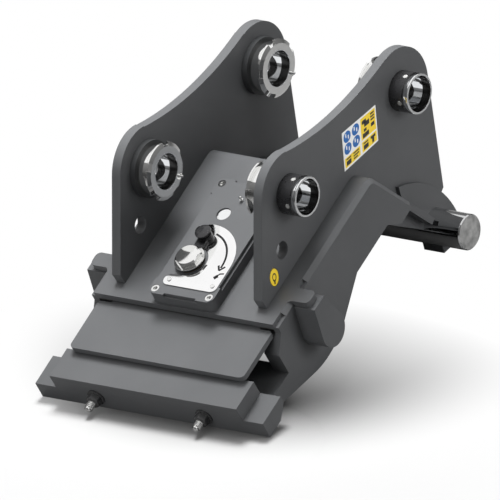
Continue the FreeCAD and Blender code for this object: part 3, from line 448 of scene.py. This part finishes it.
white_vinyl = vinyl("white_vinyl", (0.74, 0.74, 0.73), (0.80, 0.80, 0.79))
blue_vinyl = vinyl("blue_vinyl", (0.015, 0.11, 0.34), (0.020, 0.13, 0.40))
yellow_vinyl = vinyl("yellow_vinyl", (0.80, 0.57, 0.030), (0.87, 0.63, 0.045))
dark_vinyl = vinyl("dark_vinyl", grey(0.020), grey(0.032))
dot_outlines = [dot(u, v, shift) for u, v in DISCS for shift in DOT_SHIFTS]
spot_outlines = [oval_ring(0.92, 1.0), oval_ring(0.30, 0.44), SPOT_STEM]
add_vinyl("ear_sheet", [panel(0, 0, 1, 1)], white_vinyl, BASE_LAYER)
add_vinyl("ear_sheet_discs", [disc(u, v) for u, v in DISCS], blue_vinyl, COLOUR_LAYER)
add_vinyl("ear_sheet_dots", dot_outlines, white_vinyl, PRINT_LAYER)
add_vinyl("ear_sheet_panels", [panel(*box) for box in PANELS], yellow_vinyl, COLOUR_LAYER)
add_vinyl("ear_sheet_bars", [panel(*box) for box in BLOCKS], dark_vinyl, PRINT_LAYER)
add_vinyl("ear_spot", [oval(1.0)], yellow_vinyl, BASE_LAYER)
add_vinyl("ear_spot_ring", spot_outlines, dark_vinyl, COLOUR_LAYER)

# %% [markdown]
# ## Sawn ends of the hinge shaft
#
# The shaft is ground and chromed along its length, but its ends are only sawn and blasted. A very thin
# disc on each end shows that: a pale, matt face with blotches, inside the bright chamfer.

# %% Shaft ends
SHAFT = (256.6, -213.0)
SHAFT_END = 193.2
FACE_RADIUS = 23.2
FACE_LAYER = (-0.1, 0.03)
BLOTCH_SCALE = 90.0


def on_shaft_end(sign):
    return lambda a, b, height: mm(SHAFT[0] + a, sign * (SHAFT_END + height), SHAFT[1] + b)


blasted = paint("blasted_end", grey(0.14), (0.32, 0.32, 0.315), (0.42, 0.56), 0.0, BLOTCH_SCALE)
for side, sign in (("left", 1), ("right", -1)):
    face = sheet_mesh(circle(FACE_RADIUS, 64), on_shaft_end(sign), *FACE_LAYER)
    add_piece("shaft_face_" + side, [face], blasted)
print("shaft faces at", SHAFT_END, "mm")

# %% [markdown]
# ## Painted shade at the mouths of the bores
#
# The first centimetre of each chromed bore is drawn near black, as painted shade inside the bore's mouth.
# It is a film of a few hundredths of a millimetre, drawn as a short tube just inside the bore.

# %% Painted shade in the bores
PIN_BORES = {"front": (0.0, 0.0), "rear": (266.5, -2.0)}
SHADE_TUBE_RADIUS = 24.93
MOUTHS = ((-158.2, -145.0), (-94.5, -81.2), (81.2, 94.5), (138.0, 150.3))


def tube_mesh(x, z, radius, start, end, sides=72):
    bm = bmesh.new()
    outline = circle(radius, sides)
    join_rings(bm, [[bm.verts.new(mm(x + a, y, z + b)) for a, b in outline] for y in (end, start)])
    return mesh_from(bm, "tube")


# Painted shade: a near-black film just inside the mouth of each bore.
bore_shade_paint = paint("painted_bore_shade", (0.006, 0.006, 0.006), (0.014, 0.013, 0.012), (0.10, 0.20), 0.0)
for name, (x, z) in PIN_BORES.items():
    tubes = [tube_mesh(x, z, SHADE_TUBE_RADIUS, *mouth) for mouth in MOUTHS]
    add_piece("bore_shade_" + name, tubes, bore_shade_paint)
print("grease films:", len(PIN_BORES) * len(MOUTHS))

# %% [markdown]
# ## Rolled threads on the studs
#
# Two studs stand out of the beam. A plain bar reads as a peg, so each stud is drawn again with its
# thread: the profile of one pitch is wound round the axis, step after step, and runs out near the tip. A
# round bar with a chamfered tip fills its core.

# %% Threaded studs
STUD_FRONT = -132.0
STUD_HEIGHT = -51.0
STUD_SIDES = {"left": 91.5, "right": -91.5}
CORE = {"radius": 4.5, "start": -24.0, "end": 25.9, "tip": 1.2}
THREAD = {"radius": 6.0, "start": 8.0, "end": 25.0, "pitch": 3.2, "depth": 1.5}
STEPS_PER_TURN = 36
RUN_OUT = 0.6


def thread_mesh(centre, radius, start, end, pitch, depth):
    bm = bmesh.new()
    steps = int((end - start) / pitch * STEPS_PER_TURN)
    rows = []
    for i in range(steps + 1):
        angle = 2 * math.pi * i / STEPS_PER_TURN
        shift = start + (end - start - pitch) * i / steps
        fade = min(1.0, (steps - i) / STEPS_PER_TURN)
        row = []
        for part, height in ((0.0, -depth * fade), (0.4, 0.0), (0.6, 0.0), (1.0, -depth * fade)):
            r = radius + height - (1 - fade) * RUN_OUT
            place = on_plate(centre[0] - shift - part * pitch, centre[1] + r * math.cos(angle),
                             centre[2] + r * math.sin(angle))
            row.append(bm.verts.new(place))
        rows.append(row)
    for low, high in zip(rows, rows[1:]):
        for k in range(len(low) - 1):
            bm.faces.new((low[k], low[k + 1], high[k + 1], high[k]))
    bmesh.ops.recalc_face_normals(bm, faces=bm.faces)
    return mesh_from(bm, "thread")


def bar_mesh(centre, radius, start, end, tip):
    bm = bmesh.new()
    rings = [[bm.verts.new(on_plate(centre[0] - at, centre[1] + a, centre[2] + b))
              for a, b in circle(r, STEPS_PER_TURN)]
             for at, r in ((start, radius), (end - tip, radius), (end, radius - tip))]
    join_rings(bm, rings)
    bm.faces.new(rings[0])
    bm.faces.new(rings[-1])
    bmesh.ops.recalc_face_normals(bm, faces=bm.faces)
    return mesh_from(bm, "bar")


for side, y in STUD_SIDES.items():
    centre = (STUD_FRONT, y, STUD_HEIGHT)
    stud = [bar_mesh(centre, **CORE), thread_mesh(centre, **THREAD)]
    piece = add_piece("stud_thread_" + side, stud, plated)
    if side == "right":
        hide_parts("stud_bolts")
    print(piece.name, "faces:", len(piece.data.polygons))

# %% [markdown]
# ## The floor
#
# The coupler stands on the front corner of its beam and on the lips of its hub arms, so the floor is laid
# through those two edges. It does three things at once:
#
# - The coupler sees it as dark grey. That keeps the undersides dark, and gives polished metal something
#   dark to mirror.
# - The camera sees it near white, with the real soft shadow. A darker patch under and beside the coupler
#   deepens that shadow, and a glow that grows with distance lets it end in white.
# - From below it is clear, so that the underside can be looked at.

# %% Floor
FRONT_FOOT = (-0.2298, -0.2371)
REAR_FOOT = (0.2610, -0.2596)
FLOOR_SIZE = 8
FLOOR_TONE = 0.15
PATCH = {"Location": (-0.053, 0.046, 0), "Scale": (1, 0.81, 1)}
PATCH_STOPS = [(0.182, grey(0.040)), (0.378, grey(0.41))]
GLOW = {"Location": (0.258, 0.066, 0), "Scale": (1, 0.62, 1)}
GLOW_REACH = {"From Min": 0.113, "From Max": 0.371, "To Min": 0.0, "To Max": 1.0}
WHITE = (1, 1, 1, 1)


def distance(tree, mapping):
    """How far a point of the floor lies from the mapping's centre."""
    place = add_node(tree, "TexCoord").outputs["Object"]
    moved = add_node(tree, "Mapping", {"Vector": place, **mapping}).outputs["Vector"]
    return add_node(tree, "VectorMath", {0: moved}, operation="LENGTH").outputs["Value"]


def mix(tree, share, first, second):
    return add_node(tree, "MixShader", {0: share, 1: first, 2: second}).outputs["Shader"]


def floor_material():
    material, tree, shader = start_material("floor_white")
    plug(tree, shader, {"Base Color": (*grey(FLOOR_TONE), 1), "Roughness": 0.9})
    tone = ramp(tree, distance(tree, PATCH), PATCH_STOPS, "EASE")
    lit = add_node(tree, "BsdfDiffuse", {"Color": tone}).outputs["BSDF"]
    glow = add_node(tree, "Emission", {"Color": WHITE}).outputs["Emission"]
    share = add_node(tree, "MapRange", {"Value": distance(tree, GLOW), **GLOW_REACH}).outputs["Result"]
    camera_ray = add_node(tree, "LightPath").outputs["Is Camera Ray"]
    above = mix(tree, camera_ray, shader.outputs["BSDF"], mix(tree, share, lit, glow))
    clear = add_node(tree, "BsdfTransparent").outputs["BSDF"]
    from_below = add_node(tree, "NewGeometry").outputs["Backfacing"]
    plug(tree, tree.nodes["Material Output"], {"Surface": mix(tree, from_below, above, clear)})
    return material


fall = (FRONT_FOOT[1] - REAR_FOOT[1]) / (REAR_FOOT[0] - FRONT_FOOT[0])
floor_z = FRONT_FOOT[1] + fall * FRONT_FOOT[0]
tilt = math.atan(fall)
bpy.ops.mesh.primitive_plane_add(size=FLOOR_SIZE, location=(0, 0, floor_z), rotation=(0, tilt, 0))
floor = bpy.context.object
floor.name = "floor"
floor.data.materials.append(floor_material())
print("floor falls back by %.2f degrees" % math.degrees(tilt))

# %% [markdown]
# ## Lamps and the sky
#
# One large lamp stands above and behind the coupler. Three weaker ones fill in from the top, the side and
# the front. None of them shows in reflections: a lamp is many times brighter than white, and would wash
# out the arrow on its polished plate. What the metal mirrors is the sky instead, dark at the horizon and
# white above, and slanted a little, so that a sharp line runs across the round pieces. The camera sees
# plain white.

# %% Lamps and world
AIM = Vector((0.05, 0, -0.12))
LAMPS = (("key", (0.50, 0.26, 1.60), 0.8, 81), ("top", (-0.2, 0.0, 1.70), 1.0, 10),
         ("side", (0.45, -1.6, 0.25), 0.9, 16), ("front", (-1.6, -0.1, 0.15), 0.8, 9))
SOFT_LIGHT = 0.29
SKY_SLANT = (0.25, 0, 1)
SKY_BANDS = [(0.0, grey(0.06)), (0.49, grey(0.06)), (0.52, grey(0.11)), (0.79, grey(0.23)),
             (0.805, grey(1.0)), (1.0, grey(1.0))]


def add_lamp(name, place, size, watts):
    light = bpy.data.lights.new(name, "AREA")
    light.shape = "DISK"
    light.size = size
    light.energy = watts
    obj = bpy.data.objects.new(name, light)
    bpy.context.scene.collection.objects.link(obj)
    obj.location = place
    obj.visible_glossy = False
    obj.rotation_euler = (AIM - Vector(place)).to_track_quat("-Z", "Y").to_euler()


def sky(tree, colour, strength):
    return add_node(tree, "Background", {"Color": colour, "Strength": strength}).outputs["Background"]


def studio_world():
    world = bpy.data.worlds.new("studio")
    world.use_nodes = True
    tree = world.node_tree
    direction = add_node(tree, "TexCoord").outputs["Generated"]
    slanted = add_node(tree, "VectorMath", {0: direction, 1: SKY_SLANT}, operation="DOT_PRODUCT")
    height = add_node(tree, "MapRange", {"Value": slanted.outputs["Value"], "From Min": -1.0})
    mirrored = sky(tree, ramp(tree, height.outputs["Result"], SKY_BANDS), 1.0)
    ray = add_node(tree, "LightPath").outputs
    light = mix(tree, ray["Is Glossy Ray"], sky(tree, WHITE, SOFT_LIGHT), mirrored)
    straight = {0: ray["Is Camera Ray"], 1: ray["Is Transmission Ray"]}
    direct = add_node(tree, "Math", straight, operation="MAXIMUM").outputs["Value"]
    surface = mix(tree, direct, light, sky(tree, WHITE, 1.0))
    plug(tree, tree.nodes["World Output"], {"Surface": surface})
    return world


for setting in LAMPS:
    add_lamp(*setting)
bpy.context.scene.world = studio_world()

# %% [markdown]
# ## Camera
#
# The picture has no perspective, so a parallel camera fits: it needs only a direction, a width and a
# point to look at. The three directions below are the picture's right, its up, and the way back to the
# viewer.

# %% Camera
RIGHT = Vector((0.5655, -0.7947, -0.2205))
UP = Vector((0.5277, 0.1432, 0.8373))
BACK = Vector((-0.6339, -0.5899, 0.5003))
PICTURE_WIDTH = 0.675
LOOK_AT = RIGHT * 0.0485 - UP * 0.0944
STAND_OFF = 2.0

view = bpy.data.cameras.new("camera")
view.type = "ORTHO"
view.ortho_scale = PICTURE_WIDTH
camera = bpy.data.objects.new("camera", view)
bpy.context.scene.collection.objects.link(camera)
turn = Matrix((RIGHT, UP, BACK)).transposed().to_4x4()
camera.matrix_world = Matrix.Translation(LOOK_AT + BACK * STAND_OFF) @ turn
bpy.context.scene.camera = camera
print("camera at", [round(v, 3) for v in camera.location])

# %% Picture settings
bpy.context.scene.view_settings.view_transform = "Standard"
bpy.context.view_layer.update()
